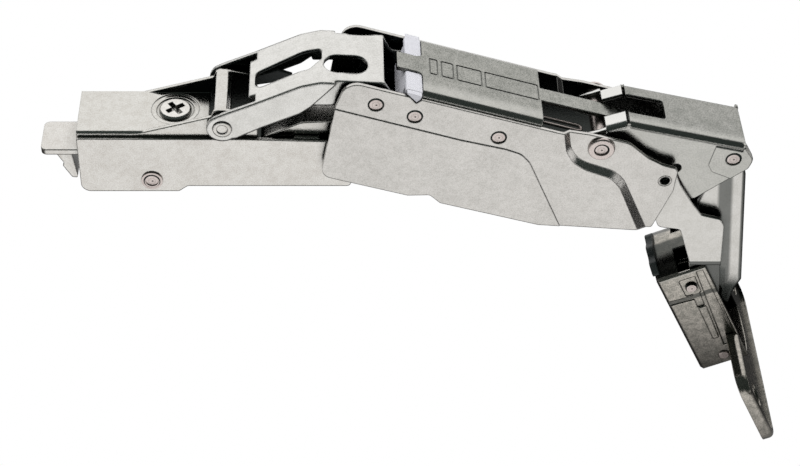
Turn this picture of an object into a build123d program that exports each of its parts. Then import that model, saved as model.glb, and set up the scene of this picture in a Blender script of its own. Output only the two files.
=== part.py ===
from build123d import *
import math
import os

# Concealed wide-angle cup hinge, shown fully open.  Millimetres, +Z up, X along the arm, Y across.
# The link train is planar: every pivot axis runs along Y.

os.makedirs("parts", exist_ok=True)

# ---------------------------------------------------------------- sheet metal levels (half widths)
sheet = 1.0
arm_sheet = 0.9
slide_in = 7.4
slide_out = slide_in + sheet
arm_in = 8.5
arm_out = arm_in + arm_sheet
knee_in = 9.6
knee_out = knee_in + sheet
knee_low_in = 8.6
inner_link_half = 7.1
plate_in = 11.1
plate_out = plate_in + sheet
joggle = 1.2
plate_low_in = plate_in - joggle
plate_low_out = plate_out - joggle
cover_in = 10.0
cover_out = cover_in + sheet
lever_in = 7.2
lever_out = lever_in + sheet
outer_in = 5.9
outer_out = outer_in + sheet
wing_in = 8.7
wing_out = wing_in + sheet
wing_low_in = 7.4
wing_low_out = wing_low_in + sheet
cup_in = 8.75
cup_out = 9.6

# ---------------------------------------------------------------- pivots (x, z)
p1 = (-18.36, -15.36)
p2 = (0.19, 2.50)
p3 = (38.25, 11.5)
p4 = (47.89, 7.77)
p5 = (68.93, 1.02)
p6 = (94.95, -3.41)
p7 = (112.12, -14.39)
p8 = (129.24, -9.16)
ph = (p2[0] + p5[0] - p4[0], p2[1] + p5[1] - p4[1])
pl = (128.0, -62.0)
pk = (130.4, -57.6)
link_slope = 17.2
cup_tilt = 25.7
flange_centre = (144.33, -82.73)

# ---------------------------------------------------------------- fits
pin_r = 2.0
run_fit = 0.1
arm_pin_r = 1.6
eye_fit = 0.62
stub_r = 1.7

# ---------------------------------------------------------------- main sizes
arm_left = -36.6
arm_right = 32.4
arm_bottom = -19.15
arm_bottom_front = -17.4
slide_top = -0.3
slide_top_end = -3.5
web_left = 8.4
web_tip = 6.75
bend_r = 1.8
flush = 0.4
panel_rise = 0.25
web_right = 40.3
cover_top = 6.9
cover_length = 31.4
tongue_end = 53.6
flange_half_width = 13.3
flange_half_length = 29.0
flange_skin = 0.9
flange_tray = 0.7
flange_rim = 3.2
flange_pitch = 43.4
flange_hole = 7.0
pot_centre = -21.9
pot_r = 21.0
pot_wall = 0.9
pot_depth = 13.65
pot_end = pot_centre - pot_r
screw_x = -12.2
screw_y = 0.8


def side(y):
    """Side-view plane at distance y; extrusions run toward -Y."""
    return Plane(origin=(0, y, 0), x_dir=(1, 0, 0), z_dir=(0, -1, 0))


def link_side(y):
    """Side-view plane of the sloping link housing, origin on its knee pivot."""
    a = math.radians(link_slope)
    return Plane(origin=(p4[0], y, p4[1]), x_dir=(math.cos(a), 0, -math.sin(a)), z_dir=(0, -1, 0))


def cup_side(y):
    """Side-view plane of the cup: x across the flange, y out of the door."""
    a = math.radians(cup_tilt)
    return Plane(
        origin=(flange_centre[0], y, flange_centre[1]),
        x_dir=(math.sin(a), 0, -math.cos(a)),
        z_dir=(0, -1, 0),
    )


def link_top(w):
    """Plane parallel to the cover at height w."""
    a = math.radians(link_slope)
    n = (math.sin(a), 0, math.cos(a))
    return Plane(
        origin=(p4[0] + n[0] * w, 0, p4[1] + n[2] * w),
        x_dir=(math.cos(a), 0, -math.sin(a)),
        z_dir=n,
    )


def cup_face(n):
    """Plane parallel to the flange at height n over its front face."""
    a = math.radians(cup_tilt)
    d = (math.cos(a), 0, math.sin(a))
    return Plane(
        origin=(flange_centre[0] + d[0] * n, 0, flange_centre[1] + d[2] * n),
        x_dir=(math.sin(a), 0, -math.cos(a)),
        z_dir=d,
    )


def to_link(p):
    """World side-view point in link housing coordinates."""
    a = math.radians(link_slope)
    dx = p[0] - p4[0]
    dz = p[1] - p4[1]
    return (dx * math.cos(a) - dz * math.sin(a), dx * math.sin(a) + dz * math.cos(a))


def to_cup(p):
    """World side-view point in cup coordinates."""
    a = math.radians(cup_tilt)
    dx = p[0] - flange_centre[0]
    dz = p[1] - flange_centre[1]
    return (dx * math.sin(a) - dz * math.cos(a), dx * math.cos(a) + dz * math.sin(a))


def flat(plane, *corners):
    """Face on a plane with straight edges through corners (x, y, radius)."""
    starts = []
    middles = []
    ends = []
    count = len(corners)
    for i in range(count):
        x, y, r = corners[i]
        ax, ay = corners[i - 1][0] - x, corners[i - 1][1] - y
        bx, by = corners[(i + 1) % count][0] - x, corners[(i + 1) % count][1] - y
        la = math.hypot(ax, ay)
        lb = math.hypot(bx, by)
        ax, ay, bx, by = ax / la, ay / la, bx / lb, by / lb
        half = math.acos(max(-1.0, min(1.0, ax * bx + ay * by))) / 2
        if r <= 0 or half > 1.55:
            starts.append((x, y, 0))
            middles.append(None)
            ends.append((x, y, 0))
            continue
        t = r / math.tan(half)
        mx, my = ax + bx, ay + by
        lm = math.hypot(mx, my)
        reach = r / math.sin(half) - r
        starts.append((x + ax * t, y + ay * t, 0))
        middles.append((x + mx / lm * reach, y + my / lm * reach, 0))
        ends.append((x + bx * t, y + by * t, 0))
    edges = []
    for i in range(count):
        if middles[i] is not None:
            edges.append(Edge.make_three_point_arc(starts[i], middles[i], ends[i]))
        edges.append(Edge.make_line(ends[i], starts[(i + 1) % count]))
    return plane * Face(Wire(edges))


def round_face(plane, centre, r):
    """Round face on a plane."""
    return plane * Pos(centre[0], centre[1], 0) * Face(Wire.make_circle(r))


def across(plane, half, *corners, mode=Mode.ADD):
    """Solid spanning the full width between -half and +half."""
    place = plane(half)
    extrude(flat(place, *corners), amount=2 * half, dir=place.z_dir, mode=mode)


def pair(plane, inner, outer, *corners):
    """Two equal plates at the same distance either side of the centre plane."""
    for start in (-inner, outer):
        place = plane(start)
        extrude(flat(place, *corners), amount=outer - inner, dir=place.z_dir)


def disc_pair(plane, inner, outer, centre, r):
    """Two equal round bosses either side of the centre plane."""
    for start in (-inner, outer):
        place = plane(start)
        extrude(round_face(place, centre, r), amount=outer - inner, dir=place.z_dir)


def rod(plane, centre, r, half, mode=Mode.ADD):
    """Round bar across the width."""
    place = plane(half)
    extrude(round_face(place, centre, r), amount=2 * half, dir=place.z_dir, mode=mode)


def bore(plane, centre, r, half=20.0):
    """Round hole across the whole width."""
    rod(plane, centre, r, half, mode=Mode.SUBTRACT)


def slab(plane, y, depth, *corners, mode=Mode.ADD):
    """Plate that starts at y and runs toward -Y for its depth."""
    place = plane(y)
    extrude(flat(place, *corners), amount=depth, dir=place.z_dir, mode=mode)


def stub(plane, y, depth, centre, r, mode=Mode.ADD):
    """Round stub that starts at y and runs toward -Y for its depth."""
    place = plane(y)
    extrude(round_face(place, centre, r), amount=depth, dir=place.z_dir, mode=mode)


def dimple(plane, centre, r, half, depth):
    """Shallow round recess in both rivet ends."""
    stub(plane, -half + depth, depth, centre, r, mode=Mode.SUBTRACT)
    stub(plane, half, depth, centre, r, mode=Mode.SUBTRACT)


def folded(start, end, reach, sign):
    """Sheet folded from the lever's top into its side, along a side-view line; sign -1 near, +1 far."""
    dx, dz = end[0] - start[0], end[1] - start[1]
    length = math.hypot(dx, dz)
    place = Plane(origin=(start[0], 0, start[1]), x_dir=(0, sign, 0), z_dir=(dx / length, 0, dz / length))
    centre = lever_out - bend_r
    small = bend_r - sheet
    k = math.sqrt(0.5)
    low = -bend_r - 0.6
    outer_mid = (centre + bend_r * k, sign * (-bend_r + bend_r * k), 0)
    inner_mid = (centre + small * k, sign * (-bend_r + small * k), 0)
    corners = (
        (lever_out, low),
        (lever_out, -bend_r),
        (centre, 0.0),
        (reach, 0.0),
        (reach, -sheet),
        (centre, -sheet),
        (lever_in, -bend_r),
        (lever_in, low),
    )
    p = [(x, sign * y, 0) for x, y in corners]
    edges = [
        Edge.make_line(p[0], p[1]),
        Edge.make_three_point_arc(p[1], outer_mid, p[2]),
        Edge.make_line(p[2], p[3]),
        Edge.make_line(p[3], p[4]),
        Edge.make_line(p[4], p[5]),
        Edge.make_three_point_arc(p[5], inner_mid, p[6]),
        Edge.make_line(p[6], p[7]),
        Edge.make_line(p[7], p[0]),
    ]
    extrude(place * Face(Wire(edges)), amount=length, dir=place.z_dir)


# ================================================================ arm
# Outer channel of the arm: open on top and to the wall, closed by a short web at the front.
with BuildPart() as arm_housing:
    pair(
        side,
        arm_in,
        arm_out,
        (arm_left, -1.7, 0.6),
        (arm_left, arm_bottom, 2.5),
        (-11.6, arm_bottom, 1.2),
        (-9.4, arm_bottom_front, 1.2),
        (arm_right, arm_bottom_front, 1.2),
        (arm_right, -2.8, 0.8),
        (5.5, -1.9, 0),
    )
    across(
        side,
        arm_in + 0.3,
        (19.0, arm_bottom_front, 0),
        (arm_right - 1.0, arm_bottom_front, 0),
        (arm_right - 1.0, arm_bottom_front + arm_sheet, 0),
        (19.0, arm_bottom_front + arm_sheet, 0),
    )
    bore(side, p1, 1.9)
arm_housing.part.label = "arm_housing"
export_step(arm_housing.part, "parts/arm_housing.step")

# Inner channel of the arm: top plate, ears that carry the knee, strap between the ears.
with BuildPart() as arm_slide:
    pair(
        side,
        slide_in,
        slide_out,
        (arm_left, slide_top, 0),
        (-19.3, slide_top, 0),
        (-2.6, 4.45, 1.0),
        (-1.9, 6.3, 0.6),
        (1.7, 6.5, 0.8),
        (7.4, 5.3, 2.5),
        (8.8, 0.4, 3.0),
        (8.8, -3.0, 1.0),
        (17.4, -3.0, 0.8),
        (18.2, -2.1, 0.5),
        (24.2, -2.3, 1.0),
        (26.5, -4.5, 1.5),
        (26.5, -12.0, 2.0),
        (arm_left, -12.0, 1.0),
    )
    with BuildSketch(Plane.XY.offset(slide_top - sheet)):
        with Locations(((arm_left + slide_top_end) / 2, 0)):
            Rectangle(slide_top_end - arm_left, 2 * slide_in + 0.4)
    extrude(amount=sheet)
    top_rims = arm_slide.edges().filter_by(Axis.X).filter_by(
        lambda e: abs(abs(e.center().Y) - slide_out) < 0.01 and abs(e.center().Z - slide_top) < 0.01
    )
    fillet(top_rims, 0.8)
    across(
        side,
        slide_out,
        (-1.9, 4.5, 0.8),
        (1.7, 4.5, 0.8),
        (1.7, 6.6, 1.0),
        (-1.9, 6.6, 1.0),
    )
    with BuildSketch(Plane.XY.offset(slide_top)):
        with Locations((screw_x, screw_y)):
            Circle(6.1)
    extrude(amount=-0.25, mode=Mode.SUBTRACT)
    with BuildSketch(Plane.XY.offset(slide_top - 0.25)):
        with Locations((screw_x, screw_y)):
            Circle(4.8)
    extrude(amount=-0.35, mode=Mode.SUBTRACT)
    with BuildSketch(Plane.XY.offset(slide_top - sheet)):
        with Locations((screw_x, screw_y)):
            Circle(5.4)
    extrude(amount=-1.6)
    with BuildSketch(Plane.XY.offset(slide_top)):
        with Locations((screw_x, screw_y)):
            Circle(3.0 + run_fit)
    extrude(amount=-4.0, mode=Mode.SUBTRACT)
    bore(side, p1, 1.9)
    bore(side, p2, pin_r)
    bore(side, ph, arm_pin_r)
arm_slide.part.label = "arm_slide"
export_step(arm_slide.part, "parts/arm_slide.step")

# Cross-recessed adjusting screw in the top plate.
with BuildPart() as adjusting_screw:
    with BuildSketch(Plane.XY.offset(-9.0)):
        with Locations((screw_x, screw_y)):
            Circle(3.0)
    extrude(amount=9.0 + slide_top - 0.6)
    with BuildSketch(Plane.XY.offset(slide_top - 0.6)):
        with Locations((screw_x, screw_y)):
            Circle(4.1)
    extrude(amount=0.9)
    chamfer(adjusting_screw.faces().sort_by(Axis.Z)[-1].edges(), 0.45)
    with BuildSketch(Plane.XY.offset(slide_top + 0.32)):
        with Locations((screw_x, screw_y)):
            Rectangle(5.0, 1.3, rotation=35)
            Rectangle(5.0, 1.3, rotation=125)
    extrude(amount=-1.3, mode=Mode.SUBTRACT)
adjusting_screw.part.label = "adjusting_screw"
export_step(adjusting_screw.part, "parts/adjusting_screw.step")

# Rivet that hooks on the mounting plate and carries the release lever.
with BuildPart() as hook_rivet:
    rod(side, p1, 1.9, arm_out)
    disc_pair(side, arm_out, arm_out + 0.45, p1, 2.7)
    dimple(side, p1, 1.7, arm_out + 0.45, 0.3)
hook_rivet.part.label = "hook_rivet"
export_step(hook_rivet.part, "parts/hook_rivet.step")

# Release lever: thumb tab behind the arm, cheeks down to the hook rivet.
with BuildPart() as release_lever:
    with BuildSketch(Plane.XY.offset(-10.1)):
        with Locations((-35.3, 0)):
            RectangleRounded(22.6, 11.2, 1.6)
    extrude(amount=1.6)
    pair(
        side,
        4.0,
        5.0,
        (-34.0, -9.0, 0),
        (-24.0, -9.0, 0),
        (-14.6, -13.2, 2.0),
        (-15.0, -18.2, 2.0),
        (-21.4, -18.4, 2.0),
        (-32.0, -11.5, 1.0),
    )
    bore(side, p1, 1.9 + run_fit)
release_lever.part.label = "release_lever"
export_step(release_lever.part, "parts/release_lever.step")

# Bent clip under the thumb tab.
with BuildPart() as release_clip:
    across(
        side,
        4.2,
        (-43.4, -10.1, 0),
        (-39.0, -10.1, 0),
        (-38.3, -17.0, 0.5),
        (-38.0, -19.1, 0.4),
        (-39.5, -18.9, 0.6),
        (-41.6, -15.0, 0.8),
        (-41.3, -13.9, 0.5),
    )
    across(
        side,
        3.2,
        (-46.0, -11.1, 0.3),
        (-39.9, -11.1, 0.3),
        (-38.9, -14.7, 0.3),
        (-39.1, -17.0, 0.3),
        (-46.0, -17.0, 0.3),
        mode=Mode.SUBTRACT,
    )
release_clip.part.label = "release_clip"
export_step(release_clip.part, "parts/release_clip.step")

# Knee pin with spacer washers and heads.
with BuildPart() as knee_pin:
    rod(side, p2, pin_r, knee_out + 0.05)
    disc_pair(side, slide_out + 0.02, knee_in - 0.05, p2, 3.2)
    disc_pair(side, knee_out + 0.05, knee_out + 0.3, p2, 2.35)
    dimple(side, p2, 1.4, knee_out + 0.3, 0.3)
knee_pin.part.label = "knee_pin"
export_step(knee_pin.part, "parts/knee_pin.step")

# Pin of the inner link, held between the slide walls.
with BuildPart() as inner_link_pin:
    rod(side, ph, arm_pin_r, slide_out)
inner_link_pin.part.label = "inner_link_pin"
export_step(inner_link_pin.part, "parts/inner_link_pin.step")

# ================================================================ knee bracket
with BuildPart() as knee_bracket:
    pair(
        side,
        knee_in,
        knee_out,
        (-2.0, 5.9, 1.5),
        (1.6, 7.6, 0),
        (web_left, 10.6, 2.0),
        (19.7, 16.0, 6.0),
        (24.6, 17.2, 4.0),
        (28.9, 16.95, 0.5),
        (22.3, 9.6, 3.0),
        (19.6, 7.4, 2.0),
        (10.1, 3.0, 4.0),
        (3.4, -0.6, 1.0),
        (-1.0, 0.0, 0.5),
    )
    disc_pair(side, knee_in, knee_out, p2, 3.95)
    pair(
        side,
        knee_low_in,
        knee_in + 0.02,
        (20.6, 15.9, 3.0),
        (24.6, 17.2, 4.0),
        (web_right, 16.3, 0.6),
        (42.6, 12.0, 2.0),
        (49.0, 12.0, 2.0),
        (52.0, 7.0, 2.0),
        (48.0, 3.4, 3.0),
        (44.5, 4.6, 3.0),
        (36.5, 9.3, 4.0),
        (22.6, 9.3, 0.5),
    )
    across(
        side,
        knee_in + 0.02,
        (web_left, 10.6, 0.3),
        (19.7, 16.0, 6.0),
        (24.6, 17.2, 4.0),
        (web_right, 16.3, 0.3),
        (web_right, 15.3, 0.3),
        (24.7, 16.2, 3.0),
        (20.1, 15.0, 5.0),
        (web_left + 0.6, 9.7, 0.3),
    )
    across(
        side,
        7.0,
        (web_tip, 9.81, 0.3),
        (web_left + 0.4, 10.79, 0),
        (web_left + 0.8, 9.88, 0),
        (web_tip + 0.43, 8.91, 0.3),
    )
    slot_face = flat(
        Plane.XY.offset(9.0),
        (8.3, 1.5, 1.7),
        (8.3, -4.9, 2.3),
        (21.8, -4.4, 2.0),
        (25.0, -1.0, 1.0),
        (25.0, 2.9, 1.2),
        (21.6, 3.1, 2.0),
    )
    extrude(slot_face, amount=9.0, dir=(0, 0, 1), mode=Mode.SUBTRACT)
    with BuildSketch(Plane.XY.offset(9.0)):
        with Locations((30.9, -2.8)):
            SlotOverall(11.0, 6.9)
    extrude(amount=9.0, mode=Mode.SUBTRACT)
    bore(side, p2, pin_r + run_fit)
    bore(side, p4, pin_r + run_fit)
knee_bracket.part.label = "knee_bracket"
export_step(knee_bracket.part, "parts/knee_bracket.step")

# ================================================================ inner link
# Deep rounded channel between the arm and the link housing.
with BuildPart() as inner_link:
    across(
        side,
        inner_link_half,
        (9.4, -3.4, 2.0),
        (20.0, 1.7, 5.0),
        (31.5, 2.2, 5.0),
        (41.0, -2.2, 3.0),
        (47.5, -2.4, 5.0),
        (56.0, 1.2, 4.0),
        (67.5, 5.2, 3.0),
        (73.2, 1.0, 3.2),
        (68.6, -3.2, 3.0),
        (60.0, -4.2, 4.0),
        (50.0, -8.0, 5.0),
        (28.0, -8.8, 4.0),
        (14.0, -8.6, 2.0),
        (9.4, -6.2, 1.5),
    )
    across(
        side,
        inner_link_half - 1.2,
        (8.0, -5.0, 0),
        (20.0, 0.4, 4.0),
        (31.2, 0.9, 4.0),
        (41.0, -3.5, 3.0),
        (47.5, -3.7, 4.0),
        (57.0, 0.3, 3.0),
        (66.0, 3.2, 2.0),
        (76.0, 3.2, 0),
        (76.0, -12.0, 0),
        (8.0, -12.0, 0),
        mode=Mode.SUBTRACT,
    )
    bore(side, ph, arm_pin_r + run_fit)
    bore(side, p5, pin_r + run_fit)
inner_link.part.label = "inner_link"
export_step(inner_link.part, "parts/inner_link.step")


# ================================================================ link housing
def link_plate(sign):
    """One joggled side plate; sign -1 near side, +1 far side."""
    plate_face = plate_out + panel_rise
    slab(
        link_side,
        plate_face if sign > 0 else -plate_low_in,
        plate_face - plate_low_in,
        (-19.2, 5.4, 4.0),
        (-19.6, -2.9, 0),
        (-16.6, -25.2, 3.0),
        (6.6, -25.0, 1.5),
        (11.9, -23.2, 1.5),
        (15.3, -25.0, 1.5),
        (42.0, -24.7, 3.0),
        (66.0, -19.4, 2.0),
        (71.0, -17.9, 0.8),
        (71.3, -4.6, 1.5),
        (69.6, 2.4, 1.5),
        (65.6, 2.4, 4.0),
        (61.0, 3.5, 5.0),
        (54.6, 6.6, 6.0),
        (44.0, 6.4, 8.0),
        (36.5, 5.5, 0.8),
    )
    slab(
        link_side,
        plate_face + 0.1 if sign > 0 else -plate_out,
        panel_rise + 0.1,
        (-30.0, -3.4, 0),
        (13.6, -3.7, 8.0),
        (25.1, -3.2, 4.0),
        (29.4, -3.6, 4.0),
        (32.4, -5.6, 3.0),
        (50.5, -27.0, 0),
        (90.0, -27.0, 0),
        (90.0, 12.0, 0),
        (-30.0, 12.0, 0),
        mode=Mode.SUBTRACT,
    )
    slab(
        link_side,
        plate_out + 0.1 if sign > 0 else -plate_in + 0.1,
        sheet + 0.2,
        (-5.7, 7.0, 0),
        (-1.0, 3.95, 0.3),
        (1.0, 7.0, 0),
        mode=Mode.SUBTRACT,
    )
    soft = (
        (35.6, 9.0, 0),
        (39.7, 0.5, 8.0),
        (42.9, -2.6, 6.0),
        (46.6, -4.0, 10.0),
        (54.2, -4.7, 5.0),
        (57.3, -6.9, 8.0),
        (73.0, -26.0, 0),
    )
    crisp = (
        (37.0, 9.0, 0),
        (41.0, 1.0, 6.0),
        (43.6, -1.3, 5.0),
        (46.3, -2.1, 10.0),
        (54.2, -2.7, 6.0),
        (57.8, -4.7, 8.0),
        (76.4, -26.0, 0),
    )
    front = ((90.0, -26.0, 0), (90.0, 9.0, 0))
    rear = ((-30.0, -26.0, 0), (-30.0, 9.0, 0))
    outer_low = flat(link_side(sign * plate_low_out), *(crisp + front))
    outer_high = flat(link_side(sign * (plate_out + 0.001)), *(soft + front))
    loft([outer_low, outer_high], ruled=True, mode=Mode.SUBTRACT)
    inner_high = flat(link_side(sign * plate_in), *(soft + rear))
    inner_low = flat(link_side(sign * (plate_low_in - 0.001)), *(crisp + rear))
    loft([inner_high, inner_low], ruled=True, mode=Mode.SUBTRACT)
    for p in (p3, p4, p5, p6):
        bore(link_side, to_link(p), pin_r)
    bore(link_side, to_link(p7), stub_r)


with BuildPart() as side_plate_near:
    link_plate(-1)
side_plate_near.part.label = "side_plate_near"
export_step(side_plate_near.part, "parts/side_plate_near.step")

with BuildPart() as side_plate_far:
    link_plate(1)
side_plate_far.part.label = "side_plate_far"
export_step(side_plate_far.part, "parts/side_plate_far.step")

# Stamped top cover: skirt between the side plates, tab to the knee, tongue to the front.
with BuildPart() as top_cover:
    across(
        link_side,
        cover_out,
        (0.0, cover_top, 0),
        (cover_length, cover_top, 0),
        (cover_length, cover_top - sheet, 0),
        (0.0, cover_top - sheet, 0),
    )
    pair(
        link_side,
        cover_in,
        cover_out,
        (0.0, cover_top, 0),
        (cover_length, cover_top, 0),
        (cover_length, 3.0, 1.0),
        (cover_length - 4.4, 0.6, 1.5),
        (0.8, 0.6, 1.5),
    )
    cover_rims = top_cover.edges().filter_by(
        lambda e: abs(abs(e.center().Y) - cover_out) < 0.01 and e.length > cover_length - 0.5
    )
    fillet(cover_rims.filter_by(lambda e: to_link((e.center().X, e.center().Z))[1] > cover_top - 0.1), bend_r)
    with BuildSketch(link_top(cover_top - sheet)):
        with BuildLine():
            Polyline((-6.6, 3.1), (-6.6, -3.1), (-1.5, -3.1), (-0.4, -3.5), (0.2, -4.6), (0.2, 4.6))
            Polyline((0.2, 4.6), (-0.4, 3.5), (-1.5, 3.1), (-6.6, 3.1))
        make_face()
    extrude(amount=sheet)
    tongue_face = flat(
        link_top(cover_top - sheet),
        (cover_length - 0.5, -2.4, 0),
        (tongue_end, -2.0, 0.8),
        (tongue_end, 1.0, 1.2),
        (tongue_end - 2.8, 2.8, 1.2),
        (cover_length - 0.5, 2.5, 0),
    )
    extrude(tongue_face, amount=sheet, dir=link_top(0).z_dir)
    for left, right in ((1.8, 4.1), (4.9, 8.3), (9.0, 15.8), (16.5, 31.0)):
        with BuildSketch(link_top(cover_top)):
            with Locations(((left + right) / 2, 0.4)):
                RectangleRounded(right - left, 6.2, 0.5)
                RectangleRounded(right - left - 0.7, 5.5, 0.3, mode=Mode.SUBTRACT)
        extrude(amount=-0.2, mode=Mode.SUBTRACT)
    bore(link_side, to_link(p4), pin_r)
    bore(link_side, to_link(p5), pin_r)
top_cover.part.label = "top_cover"
export_step(top_cover.part, "parts/top_cover.step")

# Plastic damper body under the cover.
with BuildPart() as damper_body:
    pair(
        link_side,
        3.3,
        10.4,
        (-4.3, cover_top - 0.4, 0.5),
        (-0.1, cover_top - 0.4, 0),
        (-0.1, 5.0, 0),
        (-4.3, 5.0, 0.5),
    )
    across(
        link_side,
        3.5,
        (-4.3, cover_top - sheet - 0.02, 0.2),
        (-0.1, cover_top - sheet - 0.02, 0),
        (-0.1, 5.0, 0),
        (-4.3, 5.0, 0.3),
    )
    across(
        link_side,
        8.2,
        (-4.3, 5.2, 0),
        (-0.1, 5.2, 0),
        (-0.1, cover_top - sheet - 0.02, 0),
        (15.0, cover_top - sheet - 0.02, 0),
        (12.5, 1.4, 1.0),
        (8.6, -2.4, 1.0),
        (-4.3, -2.4, 1.0),
    )
    pair(
        link_side,
        10.1,
        plate_out - 0.2,
        (-4.1, cover_top - 0.5, 0),
        (-0.3, cover_top - 0.5, 0),
        (-0.4, 5.3, 0),
        (-1.0, 4.25, 0),
        (-4.0, 6.05, 0),
    )
    bore(link_side, to_link(p4), pin_r)
damper_body.part.label = "damper_body"
export_step(damper_body.part, "parts/damper_body.step")

# Shoulder rivets on both side plates beside the knee.
for name, sign in (("shoulder_rivet_near", -1), ("shoulder_rivet_far", 1)):
    with BuildPart() as shoulder_rivet:
        stub(link_side, -plate_in if sign < 0 else plate_out - flush, sheet - flush, to_link(p3), pin_r)
        stub(link_side, -plate_in + 0.6 if sign < 0 else plate_in, 0.6, to_link(p3), 3.0)
    shoulder_rivet.part.label = name
    export_step(shoulder_rivet.part, "parts/" + name + ".step")

# Knee pivot rivet of the link housing.
with BuildPart() as knee_link_rivet:
    rod(link_side, to_link(p4), pin_r, plate_out - flush)
knee_link_rivet.part.label = "knee_link_rivet"
export_step(knee_link_rivet.part, "parts/knee_link_rivet.step")

# Inner link rivet of the link housing.
with BuildPart() as inner_link_rivet:
    rod(link_side, to_link(p5), pin_r, plate_out - flush)
inner_link_rivet.part.label = "inner_link_rivet"
export_step(inner_link_rivet.part, "parts/inner_link_rivet.step")

# Collared rivet of the outer lever.
with BuildPart() as lever_rivet:
    rod(link_side, to_link(p6), pin_r, plate_low_out)
    disc_pair(link_side, lever_out + 0.2, plate_low_in, to_link(p6), 2.5)
    disc_pair(link_side, plate_low_out, plate_low_out + 0.9, to_link(p6), 3.35)
    collar_rims = lever_rivet.edges().filter_by(GeomType.CIRCLE).filter_by(
        lambda e: abs(abs(e.center().Y) - plate_low_out - 0.9) < 0.01
    )
    fillet(collar_rims, 0.45)
    dimple(link_side, to_link(p6), 1.85, plate_low_out + 0.9, 0.5)
lever_rivet.part.label = "lever_rivet"
export_step(lever_rivet.part, "parts/lever_rivet.step")

# Hollow stub rivets that carry the wing plates.
for name, sign in (("wing_rivet_near", -1), ("wing_rivet_far", 1)):
    with BuildPart() as wing_rivet:
        reach = plate_low_out - wing_in + 0.1
        stub(link_side, -wing_in + 0.1 if sign < 0 else plate_low_out, reach, to_link(p7), stub_r)
        hollow = -wing_in - 0.4 if sign < 0 else plate_low_out
        stub(link_side, hollow, reach - 0.5, to_link(p7), 1.3, mode=Mode.SUBTRACT)
    wing_rivet.part.label = name
    export_step(wing_rivet.part, "parts/" + name + ".step")

# Hairpin wire in the window under the tongue.
wire_r = 0.4
with BuildPart() as hairpin_spring:
    with BuildLine(link_top(3.4)):
        l0 = Line((cover_length - 3.0, -cover_in), (cover_length - 3.0, -7.6))
        ThreePointArc((cover_length - 3.0, -7.6), (cover_length - 2.65, -6.75), (cover_length - 1.8, -6.4))
        Line((cover_length - 1.8, -6.4), (42.2, -6.4))
        ThreePointArc((42.2, -6.4), (43.2, -5.4), (42.2, -4.4))
        Line((42.2, -4.4), (cover_length - 3.0, -4.4))
    with BuildSketch(Plane(origin=l0 @ 0, z_dir=l0 % 0)):
        Circle(wire_r)
    sweep()
hairpin_spring.part.label = "hairpin_spring"
export_step(hairpin_spring.part, "parts/hairpin_spring.step")

# ================================================================ outer lever
with BuildPart() as outer_lever:
    pair(
        side,
        lever_in,
        lever_out,
        (90.2, -1.6, 2.0),
        (94.0, -0.5, 1.0),
        (96.15, 0.4, 0.2),
        (96.15, -1.1, 0),
        (101.1, 0.6, 0),
        (101.15, 1.8, 0.2),
        (101.6, 1.5, 0.2),
        (102.1, 1.8, 0),
        (102.1, 0.35, 0),
        (131.3, -6.7, 0),
        (131.3, -4.75, 0.3),
        (132.0, -5.0, 0.6),
        (134.4, -9.4, 2.6),
        (133.4, -12.3, 1.0),
        (121.2, -22.6, 1.2),
        (119.4, -23.2, 0.8),
        (114.6, -12.4, 2.0),
        (107.0, -7.6, 6.0),
        (96.0, -8.4, 3.0),
        (90.2, -6.5, 2.5),
    )
    for sign in (-1, 1):
        folded((102.0, 2.25), (131.9, -4.97), -0.3, sign)
        folded((96.0, 0.6), (101.1, 2.38), 3.4, sign)
    with BuildSketch(Plane.XY.offset(-6.0)):
        with Locations((106.7, 0)):
            RectangleRounded(10.0, 7.3, 1.0)
    extrude(amount=12.0, mode=Mode.SUBTRACT)
    pair(
        side,
        lever_out - 0.02,
        lever_out + 0.35,
        (124.3, -5.1, 0),
        (131.3, -6.75, 0),
        (131.5, -5.2, 0.3),
        (134.3, -9.4, 2.5),
        (133.3, -12.3, 1.0),
        (129.2, -15.7, 0),
        (124.2, -13.4, 1.2),
        (123.1, -11.2, 1.0),
    )
    slab(
        side,
        lever_out + 0.5,
        lever_out - lever_in + 0.7,
        (132.2, -3.0, 0),
        (136.0, -3.0, 0),
        (136.0, -16.0, 0),
        (132.2, -16.0, 0),
        mode=Mode.SUBTRACT,
    )
    bore(side, (115.0, -12.4), 1.4)
    bore(side, p6, pin_r + run_fit)
    bore(side, p8, pin_r)
outer_lever.part.label = "outer_lever"
export_step(outer_lever.part, "parts/outer_lever.step")

# Pivot between outer lever and outer cup arm.
with BuildPart() as lever_arm_rivet:
    rod(side, p8, pin_r, lever_out)
lever_arm_rivet.part.label = "lever_arm_rivet"
export_step(lever_arm_rivet.part, "parts/lever_arm_rivet.step")

# ================================================================ outer cup arm
with BuildPart() as outer_cup_arm:
    pair(
        side,
        outer_in,
        outer_out,
        (127.0, -12.0, 0),
        (132.2, -11.0, 1.0),
        (133.4, -15.4, 2.0),
        (137.6, -53.0, 1.5),
        (136.0, -57.0, 2.0),
        (135.2, -62.1, 0.4),
        (130.5, -61.1, 2.5),
        (127.0, -60.4, 2.5),
        (127.2, -46.0, 3.0),
        (124.6, -32.0, 2.0),
        (122.2, -25.8, 2.0),
    )
    disc_pair(side, outer_in, outer_out, p8, 3.35)
    across(
        side,
        outer_in + 0.3,
        (133.5, -16.4, 0.3),
        (137.6, -53.0, 1.5),
        (136.0, -57.0, 2.0),
        (135.2, -62.1, 0.3),
        (134.3, -61.8, 0.3),
        (135.05, -57.0, 1.5),
        (136.5, -53.1, 1.0),
        (132.5, -16.4, 0.3),
    )
    bore(side, p8, pin_r + run_fit)
    bore(side, pk, stub_r + eye_fit)
outer_cup_arm.part.label = "outer_cup_arm"
export_step(outer_cup_arm.part, "parts/outer_cup_arm.step")

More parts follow.
